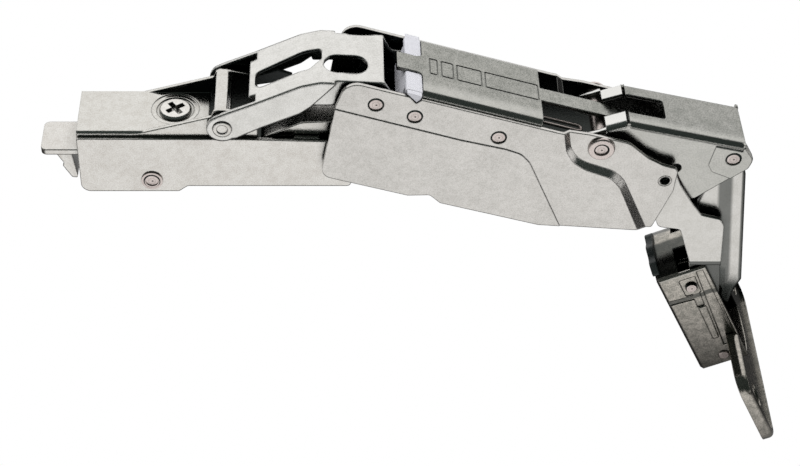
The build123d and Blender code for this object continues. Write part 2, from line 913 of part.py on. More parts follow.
# Buffer on the lower end of the outer cup arm.
with BuildPart() as arm_buffer:
    across(
        side,
        2.4,
        (135.1, -62.15, 0),
        (132.0, -63.3, 0.4),
        (132.2, -66.0, 0.5),
        (135.2, -65.4, 0.5),
        (136.2, -62.6, 0.3),
    )
arm_buffer.part.label = "arm_buffer"
export_step(arm_buffer.part, "parts/arm_buffer.step")

# ================================================================ inner cup arm (two joggled wings and a web)
with BuildPart() as inner_cup_arm:
    pair(
        side,
        wing_in,
        wing_out,
        (108.0, -12.0, 3.0),
        (113.8, -10.2, 3.0),
        (116.6, -17.0, 1.5),
        (120.8, -23.9, 1.0),
        (123.3, -27.4, 1.5),
        (128.4, -28.9, 1.2),
        (129.6, -31.0, 1.2),
        (130.6, -45.2, 0),
        (122.5, -45.2, 0),
        (118.4, -32.4, 1.5),
        (112.4, -31.4, 2.0),
        (107.6, -18.0, 3.0),
    )
    pair(
        side,
        wing_low_in,
        wing_low_out,
        (122.2, -44.2, 0),
        (130.5, -44.2, 0),
        (131.5, -51.8, 3.0),
        (132.4, -63.6, 3.5),
        (127.6, -67.2, 3.5),
        (123.4, -63.0, 3.5),
        (123.0, -50.0, 5.0),
    )
    pair(
        side,
        wing_low_in,
        wing_out,
        (122.3, -44.2, 0),
        (130.5, -44.2, 0),
        (130.6, -45.2, 0),
        (122.5, -45.2, 0),
    )
    across(
        side,
        wing_in + 0.3,
        (112.6, -30.4, 0.3),
        (118.2, -31.4, 0.3),
        (118.2, -32.4, 0.3),
        (112.6, -31.4, 0.3),
    )
    bore(side, p7, stub_r + run_fit)
    bore(side, pl, stub_r + run_fit)
inner_cup_arm.part.label = "inner_cup_arm"
export_step(inner_cup_arm.part, "parts/inner_cup_arm.step")

# ================================================================ cup
with BuildPart() as cup_pot:
    with BuildSketch(cup_face(-pot_depth)):
        with Locations((pot_centre, 0)):
            Circle(pot_r)
        with Locations((pot_centre, 0)):
            Rectangle(2 * pot_r + 2, 2 * cup_out, mode=Mode.INTERSECT)
    extrude(amount=pot_depth)
    bottom_rims = cup_pot.faces().filter_by(
        lambda f: abs(to_cup((f.center().X, f.center().Z))[1] + pot_depth) < 0.05
    )
    chamfer(bottom_rims.edges(), 0.7)
    with BuildSketch(cup_face(-pot_depth + 0.8)):
        with Locations((pot_centre, 0)):
            Circle(pot_r - pot_wall)
        with Locations((pot_centre, 0)):
            Rectangle(2 * pot_r + 2, 2 * cup_in, mode=Mode.INTERSECT)
    extrude(amount=pot_depth, mode=Mode.SUBTRACT)
    for low, high in ((-cup_in, -1.4), (5.5, cup_in)):
        with BuildSketch(cup_face(-7.3)):
            with Locations((pot_end + 1.2, (low + high) / 2)):
                Rectangle(8.0, high - low)
        extrude(amount=10.0, mode=Mode.SUBTRACT)
    for half in (-cup_out, cup_out + 0.25):
        slab(cup_side, half, 0.25, (-26.8, -4.4, 0), (-13.7, -5.1, 0), (-13.7, -6.7, 0.3), (-26.8, -6.5, 0.3))
    wall_marks = (
        ((-40.0, -1.0, 0), (-10.0, -1.0, 0), (-10.0, -4.8, 0), (-40.0, -2.8, 0)),
        ((-38.6, -3.6, 0.3), (-32.2, -3.9, 0.3), (-32.2, -8.2, 0.6), (-38.6, -8.2, 0.6)),
        ((-31.7, -5.4, 0.3), (-30.2, -5.5, 0.3), (-30.9, -15.0, 0), (-32.5, -15.0, 0)),
        ((-32.2, -4.4, 0), (-27.0, -4.7, 0), (-27.0, -6.7, 0.3), (-32.2, -6.4, 0)),
    )
    for mark in wall_marks:
        for half in (-cup_out + 0.3, cup_out):
            slab(cup_side, half, 0.3, *mark, mode=Mode.SUBTRACT)
    bore(side, pl, stub_r, cup_out - 0.4)
cup_pot.part.label = "cup_pot"
export_step(cup_pot.part, "parts/cup_pot.step")

# Stamped flange with rolled rim and two screw holes.
with BuildPart() as cup_flange:
    with BuildSketch(cup_face(-flange_rim)):
        RectangleRounded(2 * flange_half_width, 2 * flange_half_length, 5.0)
    extrude(amount=flange_rim)
    front_rims = cup_flange.faces().filter_by(
        lambda f: abs(to_cup((f.center().X, f.center().Z))[1]) < 0.02
    )
    fillet(front_rims.edges(), 1.5)
    with BuildSketch(cup_face(-flange_tray)):
        RectangleRounded(2 * flange_half_width - 4, 2 * flange_half_length - 4, 3.4)
    extrude(amount=flange_tray, mode=Mode.SUBTRACT)
    with BuildSketch(cup_face(-flange_rim)):
        RectangleRounded(2 * flange_half_width - 2, 2 * flange_half_length - 2, 4.0)
    extrude(amount=flange_rim - flange_tray - flange_skin, mode=Mode.SUBTRACT)
    with BuildSketch(cup_face(-flange_rim)):
        with Locations((pot_centre, 0)):
            Circle(pot_r)
        with Locations((pot_centre, 0)):
            Rectangle(2 * pot_r + 2, 2 * cup_out, mode=Mode.INTERSECT)
    extrude(amount=flange_rim, mode=Mode.SUBTRACT)
    with BuildSketch(cup_face(-flange_rim)):
        with Locations((0, -flange_pitch / 2), (0, flange_pitch / 2)):
            Circle(flange_hole / 2)
    extrude(amount=flange_rim, mode=Mode.SUBTRACT)
cup_flange.part.label = "cup_flange"
export_step(cup_flange.part, "parts/cup_flange.step")

# Forked lug inside the cup that carries the pin of the outer cup arm.
with BuildPart() as cup_lug:
    lug_corners = (
        (pot_end + 3.6, -3.6, 1.0),
        (-31.0, 1.2, 3.0),
        (-26.2, 0.6, 2.2),
        (-26.6, -4.4, 2.2),
        (-30.8, -5.0, 1.5),
        (-33.0, -pot_depth + 0.82, 0.3),
        (pot_end + 3.0, -pot_depth + 0.82, 0.3),
    )
    pair(cup_side, 2.6, 4.2, *lug_corners)
    across(
        cup_side,
        2.8,
        (pot_end + 3.0, -pot_depth + 0.82, 0),
        (pot_end + 3.0, -9.0, 0.5),
        (-34.0, -9.0, 0.5),
        (-33.0, -pot_depth + 0.82, 0),
    )
    bore(cup_side, to_cup(pk), stub_r)
cup_lug.part.label = "cup_lug"
export_step(cup_lug.part, "parts/cup_lug.step")

# Pin of the outer cup arm.
with BuildPart() as outer_arm_pin:
    rod(side, pk, stub_r, outer_out + 0.15)
outer_arm_pin.part.label = "outer_arm_pin"
export_step(outer_arm_pin.part, "parts/outer_arm_pin.step")

# Stub pins of the inner cup arm.
for name, top in (("inner_arm_stub_near", -wing_low_in), ("inner_arm_stub_far", cup_out - 0.4)):
    with BuildPart() as inner_arm_stub:
        stub(side, top, cup_out - 0.4 - wing_low_in, pl, stub_r)
    inner_arm_stub.part.label = name
    export_step(inner_arm_stub.part, "parts/" + name + ".step")

# Rivets on the cup walls.
for name, centre, base, r in (
    ("cup_rivet_front", (123.93, -53.65), cup_out - 0.3, 1.6),
    ("cup_rivet_rear", (136.18, -79.61), cup_out, 1.6),
):
    with BuildPart() as cup_rivet:
        disc_pair(side, base, cup_out + 0.5, centre, r)
        ends = cup_rivet.edges().filter_by(lambda e: abs(abs(e.center().Y) - cup_out - 0.5) < 0.01)
        chamfer(ends, 0.3)
    cup_rivet.part.label = name
    export_step(cup_rivet.part, "parts/" + name + ".step")

# Plastic damper carrier under the cup floor.
insert_corners = (
    (pot_end + 0.8, -5.0),
    (pot_end + 0.8, 5.0),
    (pot_end + 3.0, 8.2),
    (-22.0, 8.2),
    (-22.0, -8.2),
    (pot_end + 3.0, -8.2),
)
with BuildPart() as cup_insert:
    with BuildSketch(cup_face(-pot_depth - 1.6)):
        with BuildLine():
            Polyline(*insert_corners, close=True)
        make_face()
    extrude(amount=1.6)
cup_insert.part.label = "cup_insert"
export_step(cup_insert.part, "parts/cup_insert.step")
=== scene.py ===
# %% [markdown]
# A concealed cup hinge, shown fully open. It hangs a cupboard door: the cup sits in the
# door, the long arm is fixed to the cupboard's side, and the levers between them let the
# door swing wide. Its steel pieces come ready made from the CAD model, each in its place.
# This lesson gives them their plated finish, with shade and highlights painted into it,
# adds two small dark pieces, and sets up the studio that shows them.

import math

import bmesh
import bpy
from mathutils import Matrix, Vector


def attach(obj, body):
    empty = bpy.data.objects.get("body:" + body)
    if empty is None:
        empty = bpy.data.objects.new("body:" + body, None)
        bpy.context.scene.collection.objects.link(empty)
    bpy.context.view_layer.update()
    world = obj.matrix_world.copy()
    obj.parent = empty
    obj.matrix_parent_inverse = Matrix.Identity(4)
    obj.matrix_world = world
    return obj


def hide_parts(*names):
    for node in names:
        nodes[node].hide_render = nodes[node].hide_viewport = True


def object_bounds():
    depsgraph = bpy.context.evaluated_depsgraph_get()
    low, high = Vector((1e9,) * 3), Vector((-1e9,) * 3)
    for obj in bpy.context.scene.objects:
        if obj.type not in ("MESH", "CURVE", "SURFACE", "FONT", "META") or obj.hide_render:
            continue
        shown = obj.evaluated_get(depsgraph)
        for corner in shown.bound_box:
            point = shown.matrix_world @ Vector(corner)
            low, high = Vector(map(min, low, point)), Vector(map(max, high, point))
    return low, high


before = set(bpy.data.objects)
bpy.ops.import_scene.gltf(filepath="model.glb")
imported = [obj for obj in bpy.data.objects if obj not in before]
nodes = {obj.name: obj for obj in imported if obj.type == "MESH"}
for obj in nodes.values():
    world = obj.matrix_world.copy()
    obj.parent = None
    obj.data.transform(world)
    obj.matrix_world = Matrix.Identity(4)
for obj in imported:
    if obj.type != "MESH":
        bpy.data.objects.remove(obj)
cad_box = [list(corner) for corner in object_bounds()]
mm = 0.001

# %% [markdown]
# The camera comes first, because every later choice is judged through it. A long lens
# looks down on the hinge from the front, which keeps its long edges nearly parallel, and
# a small sideways shift frames it without turning the camera.

# %% Camera
lens_pixels = 1966.0
picture_width = 800.0
camera_place = (27.0, -385.27, 316.64)
look_down = math.radians(43.0)
camera_data = bpy.data.cameras.new("studio_camera")
camera_data.sensor_width = 36.0
camera_data.lens = lens_pixels / picture_width * camera_data.sensor_width
camera_data.shift_x = 0.0875
camera_data.clip_start = 0.01
camera_data.clip_end = 20.0
camera = bpy.data.objects.new("studio_camera", camera_data)
bpy.context.scene.collection.objects.link(camera)
camera.location = Vector(camera_place) * mm
camera.rotation_euler = (math.radians(90.0) - look_down, 0.0, 0.0)
bpy.context.scene.camera = camera
bpy.context.scene.view_settings.view_transform = "Standard"
print("lens", round(camera_data.lens, 1), "mm")

# %% [markdown]
# The studio's world, its floor and every finish are node trees. Written out in full, each
# node takes several lines to add, set and join. A helper for each kind of step does that
# in one line, and keeps the trees short enough to read.

# %% Nodes and sums


def new_node(tree, kind, **values):
    """A node whose inputs, or else its own settings, are set by name."""
    made = tree.nodes.new(kind)
    for name, value in values.items():
        socket = name.replace("_", " ")
        if socket in made.inputs:
            made.inputs[socket].default_value = value
        else:
            setattr(made, name, value)
    return made


def feed(tree, socket, value):
    """Give an input a number, a colour or another node's output."""
    if isinstance(value, (int, float)):
        socket.default_value = value
    elif isinstance(value, tuple):
        socket.default_value = (*value, 1.0)
    else:
        tree.links.new(value, socket)


def math_node(tree, operation, a, b=None, c=None, clamp=False):
    """The result of a Math node; each operand is a number or an output."""
    made = new_node(tree, "ShaderNodeMath", operation=operation, use_clamp=clamp)
    for slot, value in enumerate((a, b, c)):
        if value is not None:
            feed(tree, made.inputs[slot], value)
    return made.outputs[0]


# %% [markdown]
# The tent of the studio needs four more kinds of step: a direction taken apart into X, Y
# and Z, a soft change from one zone to the next, a blend of two colours, and a choice
# between two shaders. A soft change is used and not a hard edge, because a hard edge in
# what steel mirrors looks like a scratch.

# %% Soft steps and blends


def blend_colour(tree, factor, a, b):
    """Colour a where factor is 0 and colour b where it is 1."""
    made = new_node(tree, "ShaderNodeMix", data_type="RGBA")
    for slot, value in ((0, factor), (6, a), (7, b)):
        feed(tree, made.inputs[slot], value)
    return made.outputs[2]


def mix_shaders(tree, factor, a, b):
    """Shader node a where factor is 0 and shader node b where it is 1."""
    made = tree.nodes.new("ShaderNodeMixShader")
    for slot, value in enumerate((factor, a.outputs[0], b.outputs[0])):
        feed(tree, made.inputs[slot], value)
    return made


def smooth_step(tree, value, low, high):
    """0 below low and 1 above high, with a soft change between them."""
    made = new_node(
        tree, "ShaderNodeMapRange", interpolation_type="SMOOTHSTEP", From_Min=low, From_Max=high
    )
    feed(tree, made.inputs["Value"], value)
    return made.outputs["Result"]


def split_xyz(tree, vector):
    """The X, Y and Z parts of a vector output."""
    split = tree.nodes.new("ShaderNodeSeparateXYZ")
    feed(tree, split.inputs[0], vector)
    return [split.outputs[axis] for axis in ("X", "Y", "Z")]


# %% [markdown]
# Plated steel shows little colour of its own: it shows the room. So the room is a tent.
# In reflections it is white behind the hinge, and dark from high overhead down to the
# camera's side and at its far left and right. Flat tops mirror the white part, and the
# bends catch the dark ones, as the dark lines that make sheet metal look crisp. The tent
# has three levels, chosen by the kind of ray: plain white for the camera, this white and
# dark for reflections, and an even soft light for matt parts.

# %% World
white = (1.0, 1.0, 1.0, 1.0)
tent_white = (1.0, 1.0, 1.0)
tent_dark = (0.035, 0.045, 0.042)
dark_begins, dark_full = math.radians(62.0), math.radians(82.0)
ends_begin, ends_full = 0.62, 0.86
seen_level, mirrored_level, soft_level = 1.0, 1.08, 0.62
world = bpy.data.worlds.new("tent")
world.use_nodes = True
bpy.context.scene.world = world
tree = world.node_tree
tree.nodes.clear()
x, y, z = split_xyz(tree, tree.nodes.new("ShaderNodeTexCoord").outputs["Generated"])
tilt = math_node(tree, "ARCTAN2", z, y)
opening = smooth_step(tree, tilt, dark_begins, dark_full)
ends = smooth_step(tree, math_node(tree, "ABSOLUTE", x), ends_begin, ends_full)
opening = math_node(tree, "MAXIMUM", opening, ends)
mirrored = new_node(tree, "ShaderNodeBackground", Strength=mirrored_level)
feed(tree, mirrored.inputs["Color"], blend_colour(tree, opening, tent_white, tent_dark))
seen = new_node(tree, "ShaderNodeBackground", Color=white, Strength=seen_level)
soft_light = new_node(tree, "ShaderNodeBackground", Color=white, Strength=soft_level)
rays = tree.nodes.new("ShaderNodeLightPath")
by_gloss = mix_shaders(tree, rays.outputs["Is Glossy Ray"], soft_light, mirrored)
by_camera = mix_shaders(tree, rays.outputs["Is Camera Ray"], by_gloss, seen)
output = tree.nodes.new("ShaderNodeOutputWorld")
tree.links.new(by_camera.outputs[0], output.inputs["Surface"])
print("world nodes:", len(tree.nodes))

# %% [markdown]
# Two large softboxes give the light a direction. A lamp usually shows in polished metal
# as a bright square, and here the tent already gives the steel all that it mirrors, so
# the lamps are hidden from glossy rays and only light the plastics.

# %% Lamps


def softbox(name, place, aim, size, watts):
    """A square area lamp at place that points at aim, all in mm."""
    data = bpy.data.lights.new(name, "AREA")
    data.size = size * mm
    data.energy = watts
    lamp = bpy.data.objects.new(name, data)
    bpy.context.scene.collection.objects.link(lamp)
    lamp.location = Vector(place) * mm
    direction = (Vector(aim) - Vector(place)) * mm
    lamp.rotation_euler = direction.to_track_quat("-Z", "Y").to_euler()
    lamp.visible_glossy = False


hinge_centre = (62.0, 0.0, -25.0)
softbox("key_softbox", (-260.0, -120.0, 620.0), hinge_centre, 420.0, 3.2)
softbox("rim_softbox", (380.0, 420.0, 420.0), hinge_centre, 300.0, 1.4)
print("lamps:", len(bpy.data.lights))

# %% [markdown]
# The hinge hangs just over a floor of white paper. A single flat face is enough for it,
# made wide so that its edge is never in view.

# %% Floor
floor_half_width = 4.0
floor_height = cad_box[0][2] - 0.4 * mm
floor_mesh = bpy.data.meshes.new("floor")
grid = bmesh.new()
bmesh.ops.create_grid(grid, x_segments=1, y_segments=1, size=floor_half_width)
bmesh.ops.translate(grid, verts=grid.verts, vec=(0.0, 0.0, floor_height))
grid.to_mesh(floor_mesh)
grid.free()
floor = bpy.data.objects.new("floor", floor_mesh)
bpy.context.scene.collection.objects.link(floor)
print("floor at", round(floor_height / mm, 1), "mm")

# %% [markdown]
# The camera sees the paper as plain white, with no shadow on it. The near sides of the
# hinge mirror the paper, and if it were white all over it would hide their bends and
# steps. So its reflection has dark strips: one under the hinge, one far in front of it,
# and one beyond each end. The flat sides mirror the white between them. As in the tent,
# the kind of ray chooses between the levels.

# %% Paper of the floor
paper_white = (0.93, 0.93, 0.93, 1.0)
strip_darkness = 0.96
soft_begin, soft_end = 0.024, 0.05


def object_xyz(tree):
    """X, Y and Z of the object coordinates, in metres."""
    return split_xyz(tree, tree.nodes.new("ShaderNodeTexCoord").outputs["Object"])


def minus(tree, value):
    """An output with its sign turned round."""
    return math_node(tree, "MULTIPLY", value, -1.0)


paper = bpy.data.materials.new("paper_floor")
paper.use_nodes = True
tree = paper.node_tree
tree.nodes.clear()
x, y, _ = object_xyz(tree)
strips = 0.0
for value, low, high in (
    (y, -0.036, 0.085),
    (minus(tree, y), 0.27, 0.42),
    (x, 0.185, 0.31),
    (minus(tree, x), 0.12, 0.24),
):
    begin = smooth_step(tree, value, low - soft_begin, low + soft_begin)
    end = smooth_step(tree, value, high, high + soft_end)
    strip = math_node(tree, "SUBTRACT", begin, end, clamp=True)
    strips = math_node(tree, "MAXIMUM", strips, strip)
matt = new_node(tree, "ShaderNodeBsdfDiffuse", Color=paper_white)
seen = new_node(tree, "ShaderNodeEmission", Color=white, Strength=seen_level)
mirrored = new_node(tree, "ShaderNodeEmission", Color=white)
paper_level = math_node(tree, "MULTIPLY_ADD", strips, -strip_darkness, 1.0)
feed(tree, mirrored.inputs["Strength"], paper_level)
rays = tree.nodes.new("ShaderNodeLightPath")
by_camera = mix_shaders(tree, rays.outputs["Is Camera Ray"], matt, seen)
by_gloss = mix_shaders(tree, rays.outputs["Is Glossy Ray"], by_camera, mirrored)
output = tree.nodes.new("ShaderNodeOutputMaterial")
tree.links.new(by_gloss.outputs[0], output.inputs["Surface"])
floor_mesh.materials.append(paper)
print("paper nodes:", len(tree.nodes))

# %% [markdown]
# Real nickel plating isn't even: it has faint clouds, a finer mottle and dense specks.
# The finish also paints shade into the colour: dark inside folds and crevices, where
# little light gets in. A picture of a surface could give the plating's tone, but noise in
# object coordinates needs no unwrapping and stays sharp at any size. It is made once, as
# a node group that gives a colour with that painted shade in it, a roughness and a height,
# and each steel finish uses the group with its own colours and amounts.

# %% Plating group


def new_group(name, inputs, outputs):
    """A shader node group; inputs are (name, kind, value) and outputs (name, kind)."""
    group = bpy.data.node_groups.new(name, "ShaderNodeTree")
    for label, kind, value in inputs:
        socket = group.interface.new_socket(label, in_out="INPUT", socket_type=kind)
        socket.default_value = value
    for label, kind in outputs:
        group.interface.new_socket(label, in_out="OUTPUT", socket_type=kind)
    settings = group.nodes.new("NodeGroupInput").outputs
    results = group.nodes.new("NodeGroupOutput").inputs
    return group, settings, results


FLOAT = "NodeSocketFloat"
COLOUR = "NodeSocketColor"
plating, settings, results = new_group(
    "plating",
    [
        ("Metal", COLOUR, (0.7, 0.7, 0.68, 1.0)),
        ("Tarnish", COLOUR, (0.4, 0.4, 0.36, 1.0)),
        ("Base Roughness", FLOAT, 0.3),
        ("Cloud Amount", FLOAT, 0.2),
        ("Mottle Amount", FLOAT, 0.25),
        ("Speckle Amount", FLOAT, 0.6),
        ("Crevice Depth", FLOAT, 0.95),
        ("Inside Depth", FLOAT, 0.96),
    ],
    [("Colour", COLOUR), ("Roughness", FLOAT), ("Height", FLOAT)],
)
print("plating takes", len(settings) - 1, "values and gives", len(results) - 1)

# %% [markdown]
# Inside the group, three noises of falling size add up to one mask, which blends the
# clean metal toward its tarnish. The clouds also change how rough the metal is, by a
# little more and less than its base, and the specks give the height.

# %% Clouds, mottle and specks
cloud_roughness = 0.16


def noise(tree, vector, scale, detail, rough=0.5):
    """The value of a noise texture at a vector."""
    made = new_node(tree, "ShaderNodeTexNoise", Scale=scale, Detail=detail, Roughness=rough)
    feed(tree, made.inputs["Vector"], vector)
    return made.outputs["Fac"]


where = plating.nodes.new("ShaderNodeTexCoord").outputs["Object"]
cloud = noise(plating, where, 120.0, 4.0, 0.6)
mottle = noise(plating, where, 520.0, 4.0, 0.6)
speckle = noise(plating, where, 3200.0, 2.0, 0.75)
mask = 0.0
for value, low, high, amount in (
    (cloud, 0.38, 0.66, "Cloud Amount"),
    (mottle, 0.42, 0.62, "Mottle Amount"),
    (speckle, 0.42, 0.62, "Speckle Amount"),
):
    part = smooth_step(plating, value, low, high)
    part = math_node(plating, "MULTIPLY", part, settings[amount])
    mask = math_node(plating, "ADD", mask, part, clamp=True)
tone = blend_colour(plating, mask, settings["Metal"], settings["Tarnish"])
rough = math_node(plating, "MULTIPLY_ADD", cloud, cloud_roughness, settings["Base Roughness"])
rough = math_node(plating, "SUBTRACT", rough, cloud_roughness / 2)
plating.links.new(rough, results["Roughness"])
plating.links.new(speckle, results["Height"])
print("noises:", [node.inputs["Scale"].default_value for node in plating.nodes
                  if node.bl_idname == "ShaderNodeTexNoise"])

# %% [markdown]
# Two darkenings follow, and both are painted shade. A wall that faces the hinge's middle
# plane is the inside of a folded channel, where little light gets in, so its colour is
# painted nearly black. A crevice is found by ambient occlusion, at a narrow reach for gaps
# and a wide one for the hollows between pieces, and is painted dark in the same way.

# %% Painted shade in insides and crevices
# Both colours are painted shade: near black for channel insides and for crevices.
inside_shade_colour = (0.012, 0.016, 0.015)
crevice_shade_colour = (0.02, 0.026, 0.024)


def normal_xyz(tree):
    """X, Y and Z of the direction that the surface faces."""
    return split_xyz(tree, tree.nodes.new("ShaderNodeNewGeometry").outputs["Normal"])


facing_y = normal_xyz(plating)[1]
side = math_node(plating, "SIGN", split_xyz(plating, where)[1])
inward = minus(plating, math_node(plating, "MULTIPLY", facing_y, side))
inward = smooth_step(plating, inward, 0.5, 0.9)
inward = math_node(plating, "MULTIPLY", inward, settings["Inside Depth"])
tone = blend_colour(plating, inward, tone, inside_shade_colour)
open_air = 1.0
# Ambient occlusion finds the crevices, which are painted dark as shade.
for reach, low, high in ((1.2, 0.15, 0.75), (14.0, 0.2, 0.8)):
    hollow = new_node(plating, "ShaderNodeAmbientOcclusion", Distance=reach * mm, samples=8)
    part = smooth_step(plating, hollow.outputs["AO"], low, high)
    open_air = math_node(plating, "MULTIPLY", open_air, part)
shut = math_node(plating, "SUBTRACT", 1.0, open_air)
shut = math_node(plating, "MULTIPLY", shut, settings["Crevice Depth"])
tone = blend_colour(plating, shut, tone, crevice_shade_colour)
plating.links.new(tone, results["Colour"])
print("plating nodes:", len(plating.nodes))

# %% [markdown]
# A finish is one material made from the group. The sheet's bends are sharp corners in the
# CAD model, while a real bend has a radius that catches light. Rounding the mesh would
# change its shape, so a Bevel node bends only the shading, by about that radius.

# %% Plated finishes
speck_height = 0.05 * mm


def plated(name, metal, tarnish, rough, bend=0.5, **amounts):
    """A plated metal, its shading rounded by bend (mm); amounts change the group's."""
    made = bpy.data.materials.new(name)
    made.use_nodes = True
    tree = made.node_tree
    shader = tree.nodes["Principled BSDF"]
    shader.inputs["Metallic"].default_value = 1.0
    group = new_node(tree, "ShaderNodeGroup", node_tree=plating)
    colours = {"Metal": metal, "Tarnish": tarnish}
    for label, value in {**colours, "Base Roughness": rough, **amounts}.items():
        feed(tree, group.inputs[label.replace("_", " ")], value)
    tree.links.new(group.outputs["Colour"], shader.inputs["Base Color"])
    tree.links.new(group.outputs["Roughness"], shader.inputs["Roughness"])
    edge = new_node(tree, "ShaderNodeBevel", Radius=bend * mm, samples=8)
    relief = new_node(tree, "ShaderNodeBump", Strength=0.5, Distance=speck_height)
    tree.links.new(group.outputs["Height"], relief.inputs["Height"])
    tree.links.new(edge.outputs["Normal"], relief.inputs["Normal"])
    tree.links.new(relief.outputs["Normal"], shader.inputs["Normal"])
    return made


arm_steel = plated("arm_steel", (0.74, 0.725, 0.69), (0.56, 0.53, 0.49), 0.16, bend=0.6)
slide_steel = plated(
    "slide_steel", (0.72, 0.71, 0.675), (0.54, 0.515, 0.47), 0.16, bend=0.6, Crevice_Depth=0.62
)
screw_steel = plated(
    "screw_steel", (0.86, 0.84, 0.80), (0.62, 0.60, 0.56), 0.22, bend=0.4, Crevice_Depth=0.45
)
knee_steel = plated("knee_steel", (0.76, 0.75, 0.72), (0.58, 0.57, 0.54), 0.15, bend=1.2)
plate_steel = plated("plate_steel", (0.67, 0.65, 0.62), (0.51, 0.495, 0.465), 0.18)
arm_plate_steel = plated(
    "arm_plate_steel", (0.68, 0.665, 0.635), (0.54, 0.525, 0.49), 0.18, bend=1.2
)
cover_steel = plated(
    "cover_steel", (0.42, 0.415, 0.385), (0.20, 0.205, 0.185), 0.20,
    Mottle_Amount=0.2, Speckle_Amount=0.75,
)
lever_steel = plated(
    "lever_steel", (0.40, 0.395, 0.37), (0.20, 0.205, 0.185), 0.20,
    Mottle_Amount=0.2, Speckle_Amount=0.75,
)
cup_steel = plated(
    "cup_steel", (0.56, 0.52, 0.465), (0.27, 0.26, 0.23), 0.20,
    Mottle_Amount=0.5, Speckle_Amount=0.7,
)
inner_arm_steel = plated("inner_arm_steel", (0.68, 0.665, 0.635), (0.54, 0.525, 0.49), 0.18)
rivet_steel = plated("rivet_steel", (0.66, 0.58, 0.54), (0.50, 0.43, 0.40), 0.34, bend=0.25)
print("steel finishes:", sum(made.name.endswith("steel") for made in bpy.data.materials))

# %% [markdown]
# Many finishes change over a piece: painted shade makes a bend dark, and a painted
# highlight makes an edge pale. Faces with different materials could do that, but the CAD
# meshes stay as they are, and their faces don't end where the changes do. So a mask is 1
# where the change is and 0 elsewhere, and a tint blends the colour by that mask. These
# helpers make masks from places in millimetres.

# %% Masks and tints


def tint(finish, mask, colour):
    """Blend a finish toward a colour where a mask of its own tree is 1."""
    tree = finish.node_tree
    base = tree.nodes["Principled BSDF"].inputs["Base Color"]
    tree.links.new(blend_colour(tree, mask, base.links[0].from_socket, colour), base)


def distance_from(tree, x, z):
    """Distance in metres from the line through (x, z) mm along Y."""
    object_x, _, object_z = object_xyz(tree)
    squares = []
    for value, place in ((object_x, x), (object_z, z)):
        away = math_node(tree, "SUBTRACT", value, place * mm)
        squares.append(math_node(tree, "MULTIPLY", away, away))
    return math_node(tree, "SQRT", math_node(tree, "ADD", *squares))


def band(tree, value, low, high, soft):
    """1 between low and high (mm), fading to 0 over soft (mm) outside."""
    rise = smooth_step(tree, value, (low - soft) * mm, low * mm)
    fall = smooth_step(tree, value, high * mm, (high + soft) * mm)
    return math_node(tree, "SUBTRACT", rise, fall, clamp=True)


def strongest(tree, *masks):
    """The greatest of several masks, each given with its amount."""
    result = 0.0
    for mask, amount in masks:
        part = math_node(tree, "MULTIPLY", mask, amount)
        result = math_node(tree, "MAXIMUM", result, part)
    return result


# %% [markdown]
# A rivet's head has a thin gap round it and, at its centre, the mark of the tool that set
# it. Both are too small to be worth modelling, so they are drawn in the finish, round each
# head's own place: the gap as a dark ring of painted shadow, the mark as a dark dot, and a
# faint ring of painted shade between them. The plate's edge shades the top of the head, so
# the bright disc inside the gap is set a little lower than the head, which widens the
# painted shadow above it.

# %% Rivet heads
shadow_green = (0.015, 0.02, 0.019)
rivet_metal, rivet_tarnish = (0.72, 0.645, 0.61), (0.55, 0.48, 0.45)
edge_soft = 0.06 * mm
mark_radius, mark_shift = 0.16, 0.12
ring_inner, ring_outer, ring_soft = 0.85, 0.95, 0.14


def rivet_head(name, x, z, inner, outer=4.0, drop=0.42):
    """A rivet with painted shadow in a gap from inner to outer (mm), a mark at its centre and a
    faint ring of painted shade.
    """
    made = plated(name, rivet_metal, rivet_tarnish, 0.30, bend=0.06, Crevice_Depth=0.3)
    tree = made.node_tree
    edges = []
    for centre_z, radius in ((z - drop, inner * mm), (z, outer * mm)):
        away = distance_from(tree, x, centre_z)
        edges.append(smooth_step(tree, away, radius - edge_soft, radius + edge_soft))
    # The gap between the two circles is painted shadow.
    gap = math_node(tree, "SUBTRACT", *edges, clamp=True)
    off_centre = distance_from(tree, x + mark_shift, z - drop)
    mark = band(tree, off_centre, -1.0, mark_radius, mark_radius)
    # A faint ring of painted shade, as round a small groove.
    ring = band(tree, distance_from(tree, x, z - drop), ring_inner, ring_outer, ring_soft)
    tint(made, strongest(tree, (gap, 1.0), (mark, 0.85), (ring, 0.22)), shadow_green)
    return made


heads = {
    rivet_head("head_front", 47.89, 7.77, 1.6): ["knee_link_rivet"],
    rivet_head("head_middle", 68.93, 1.02, 1.6): ["inner_link_rivet"],
    rivet_head("head_shoulder", 38.25, 11.5, 1.6): ["shoulder_rivet_near", "shoulder_rivet_far"],
    rivet_head("head_hook", -18.36, -15.36, 1.85, 2.15, 0.25): ["hook_rivet"],
    rivet_head("head_lever", 94.95, -3.41, 1.55, 1.95): ["lever_rivet"],
    rivet_head("head_arm", 129.24, -9.16, 1.58): ["lever_arm_rivet"],
    rivet_head("head_cup", 123.93, -53.65, 1.36, drop=0.05): ["cup_rivet_front"],
}
print("rivet heads:", len(heads))

# %% [markdown]
# The lever and the cover are darker sheets. Their near edges catch the light, and this is
# painted on as a pale highlight; the lever's side that faces the front is painted pale as
# lit, and the tabs at its upper end get the brightest painted highlight.

# %% Painted highlights on the lever and the cover
highlight_colour = (0.66, 0.65, 0.61)
tree = lever_steel.node_tree
_, facing_y, facing_z = normal_xyz(tree)
x, y, _ = object_xyz(tree)
# The lever's side that faces the front is painted pale, as painted light.
side_highlight = smooth_step(tree, minus(tree, facing_y), 0.7, 0.95)
# The lever's near edge gets a pale painted highlight.
edge_highlight = smooth_step(tree, minus(tree, y), 4.0 * mm, 6.6 * mm)
tint(lever_steel, strongest(tree, (side_highlight, 0.55), (edge_highlight, 0.4)), highlight_colour)
